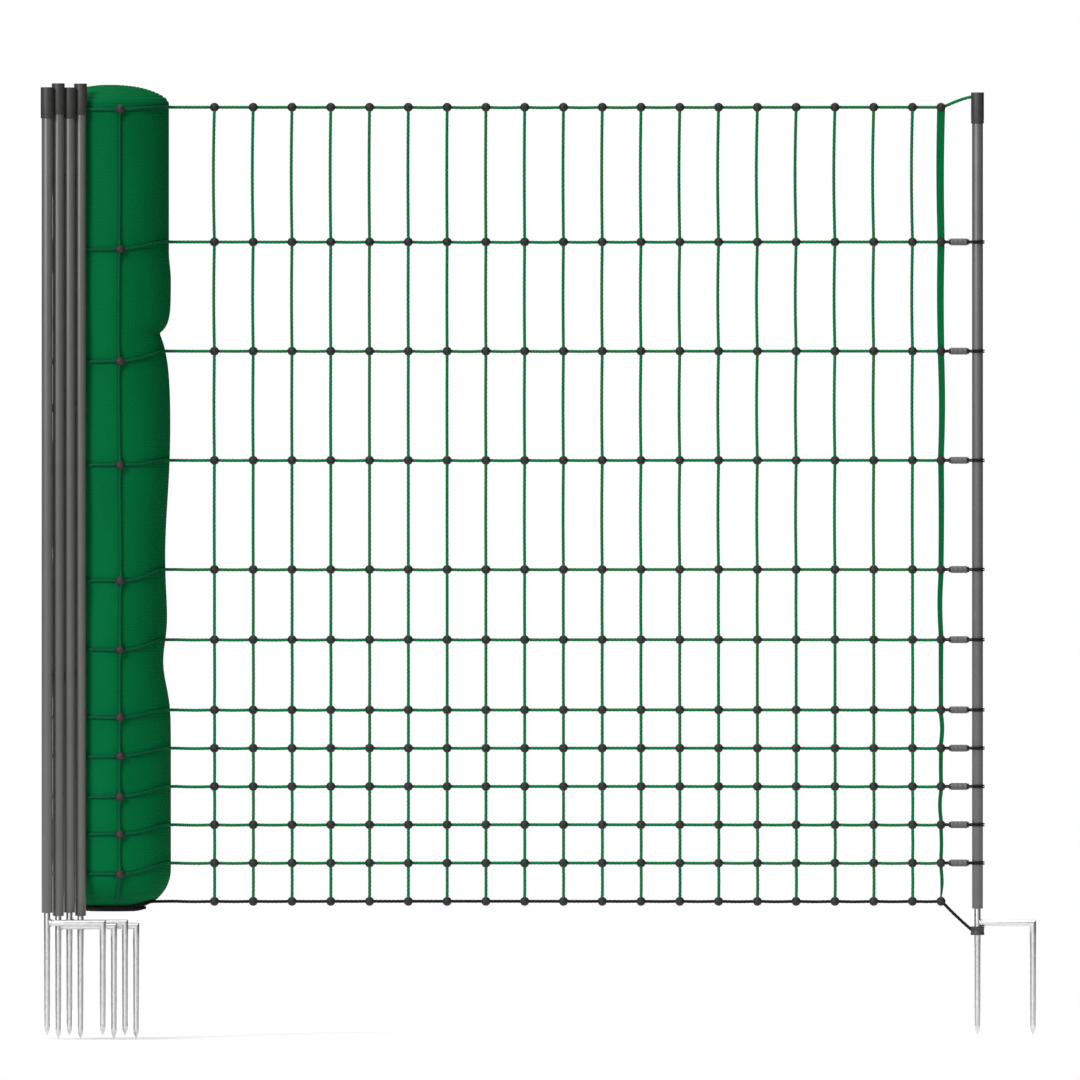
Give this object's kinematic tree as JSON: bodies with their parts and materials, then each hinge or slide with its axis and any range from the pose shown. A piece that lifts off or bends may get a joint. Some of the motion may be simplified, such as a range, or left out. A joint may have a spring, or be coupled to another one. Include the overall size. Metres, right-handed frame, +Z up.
{
  "type": "electric poultry net",
  "caption": "Electric poultry net, partly unrolled: roll of green netting with stored double-spike posts and an open panel tied to a planted end post.",
  "frame": {"origin": "on the end post's axis at soil level, where its ground spike enters the soil", "axes": "+Z up, +X along the net from the roll towards the end post's side spike, +Y to the back"},
  "size_m": [1.4022, 0.2136, 1.3453],
  "materials": {
    "post_plastic": "satin extruded plastic",
    "cap_plastic": "matt moulded plastic",
    "galvanised_steel": "bright zinc",
    "green_strand": "twisted polythene and wire",
    "black_strand": "twisted polythene",
    "green_tape": "flat woven tape",
    "knot_plastic": "matt moulded plastic",
    "black_cord": "braided cord",
    "sleeve_metal": "crimped, grey",
    "rolled_netting": "tightly wound netting",
    "clip_plastic": "matt moulded plastic"
  },
  "bodies": {
    "end_post": {"end_tube": "post_plastic", "end_spike_plug": "cap_plastic", "end_ground_spike": "galvanised_steel", "end_step_spike": "galvanised_steel"},
    "net_panel": {"end_cap": "cap_plastic", "strand_ground": "black_strand", "strand_02": "green_strand", "strand_03": "green_strand", "strand_04": "green_strand", "strand_05": "green_strand", "strand_06": "green_strand", "strand_07": "green_strand", "strand_08": "green_strand", "strand_09": "green_strand", "strand_10": "green_strand", "strand_11": "green_strand", "strand_top": "green_strand", "uprights": "green_strand", "end_tape": "green_tape", "knots": "knot_plastic", "end_knots": "knot_plastic", "top_lead": "green_strand", "ground_lead": "black_strand", "ground_ring": "cap_plastic", "post_loops": "black_cord", "loop_sleeves": "sleeve_metal"},
    "roll": {"rolled_net": "rolled_netting", "fold_strands": "green_strand", "fold_ground_strand": "black_strand", "wrap_strands": "green_strand", "wrap_ground_strand": "black_strand", "wrap_uprights": "green_strand", "wrap_knots": "knot_plastic", "post_clip_lower": "clip_plastic", "post_clip_middle": "clip_plastic", "post_clip_upper": "clip_plastic"},
    "stored_post_1": {"post_1_tube": "post_plastic", "post_1_cap": "cap_plastic", "post_1_spike_plug": "cap_plastic", "post_1_ground_spike": "galvanised_steel", "post_1_step_spike": "galvanised_steel"},
    "stored_post_2": {"post_2_tube": "post_plastic", "post_2_cap": "cap_plastic", "post_2_spike_plug": "cap_plastic", "post_2_ground_spike": "galvanised_steel", "post_2_step_spike": "galvanised_steel"},
    "stored_post_3": {"post_3_tube": "post_plastic", "post_3_cap": "cap_plastic", "post_3_spike_plug": "cap_plastic", "post_3_ground_spike": "galvanised_steel", "post_3_step_spike": "galvanised_steel"},
    "stored_post_4": {"post_4_tube": "post_plastic", "post_4_cap": "cap_plastic", "post_4_spike_plug": "cap_plastic", "post_4_ground_spike": "galvanised_steel", "post_4_step_spike": "galvanised_steel"}
  },
  "joints": [
    {"name": "panel_swing", "type": "hinge", "parent": "end_post", "child": "net_panel", "pos_m": [0, 0, 0], "axis": [0, 0, 1], "range_deg": [-135, 135]},
    {"name": "roll_swing", "type": "hinge", "parent": "net_panel", "child": "roll", "pos_m": [-1.1327, 0, 0], "axis": [0, 0, 1], "range_deg": [-90, 90]},
    {"name": "stored_post_1_turn", "type": "hinge", "parent": "roll", "child": "stored_post_1", "pos_m": [-1.3104, -0.11728, 0], "axis": [0, 0, 1], "range_deg": [-110, 0]},
    {"name": "stored_post_2_turn", "type": "hinge", "parent": "roll", "child": "stored_post_2", "pos_m": [-1.2949, -0.10689, 0], "axis": [0, 0, 1], "range_deg": [-110, 0]},
    {"name": "stored_post_3_turn", "type": "hinge", "parent": "roll", "child": "stored_post_3", "pos_m": [-1.2794, -0.0965, 0], "axis": [0, 0, 1], "range_deg": [-110, 0]},
    {"name": "stored_post_4_turn", "type": "hinge", "parent": "roll", "child": "stored_post_4", "pos_m": [-1.2639, -0.08611, 0], "axis": [0, 0, 1], "range_deg": [-110, 0]}
  ],
  "couplings": [
    {"joint": "stored_post_2_turn", "follows": "stored_post_1_turn", "ratio": 1},
    {"joint": "stored_post_3_turn", "follows": "stored_post_1_turn", "ratio": 1},
    {"joint": "stored_post_4_turn", "follows": "stored_post_1_turn", "ratio": 1}
  ]
}
